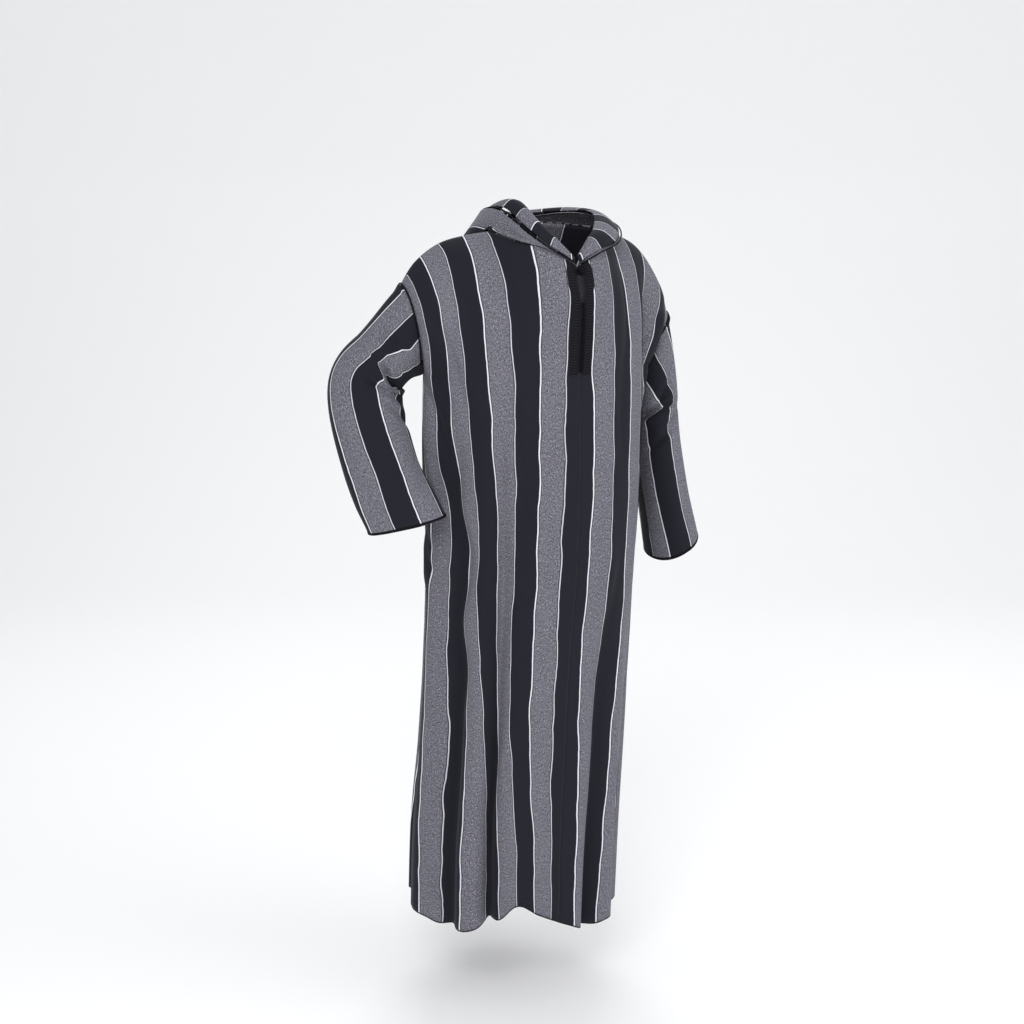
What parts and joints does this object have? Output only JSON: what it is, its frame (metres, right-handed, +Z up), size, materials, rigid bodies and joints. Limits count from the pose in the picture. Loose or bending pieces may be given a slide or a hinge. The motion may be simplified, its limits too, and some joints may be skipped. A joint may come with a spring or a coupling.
{
  "type": "hooded djellaba robe",
  "caption": "Worn djellaba in black and grey stripes with thin white lines: full-length hollow body, two long sleeves, hood hanging at the back, black piping, braided neck opening with knot buttons.",
  "frame": {"origin": "Inside the neck, at the top of the front opening's height plane, where the yoke of the robe hangs from the wearer's shoulders", "axes": "+X to the wearer's left, +Y to the wearer's back, +Z up the wearer's height"},
  "size_m": [0.7282, 0.4302, 1.446],
  "materials": {
    "robe_cloth": "striped woollen weave, black and grey melange with thin white lines, soft nap",
    "black_piping": "matt black rolled piping and narrow binding",
    "black_braid": "flat black needle-worked braid, low sheen",
    "black_cord": "black twisted silk-like cord worked into knots"
  },
  "bodies": {
    "root": {"body_left": "robe_cloth", "sleeve_left": "robe_cloth", "hood_left": "robe_cloth", "hood_facing_left": "robe_cloth", "armhole_piping_left": "black_piping", "hood_piping_left": "black_piping", "cuff_binding_left": "black_piping", "placket_braid_left": "black_braid", "body_right": "robe_cloth", "sleeve_right": "robe_cloth", "hood_right": "robe_cloth", "hood_facing_right": "robe_cloth", "armhole_piping_right": "black_piping", "hood_piping_right": "black_piping", "cuff_binding_right": "black_piping", "placket_braid_right": "black_braid", "knot_row": "black_cord", "knot_button": "black_cord", "button_loop": "black_cord"}
  },
  "joints": []
}
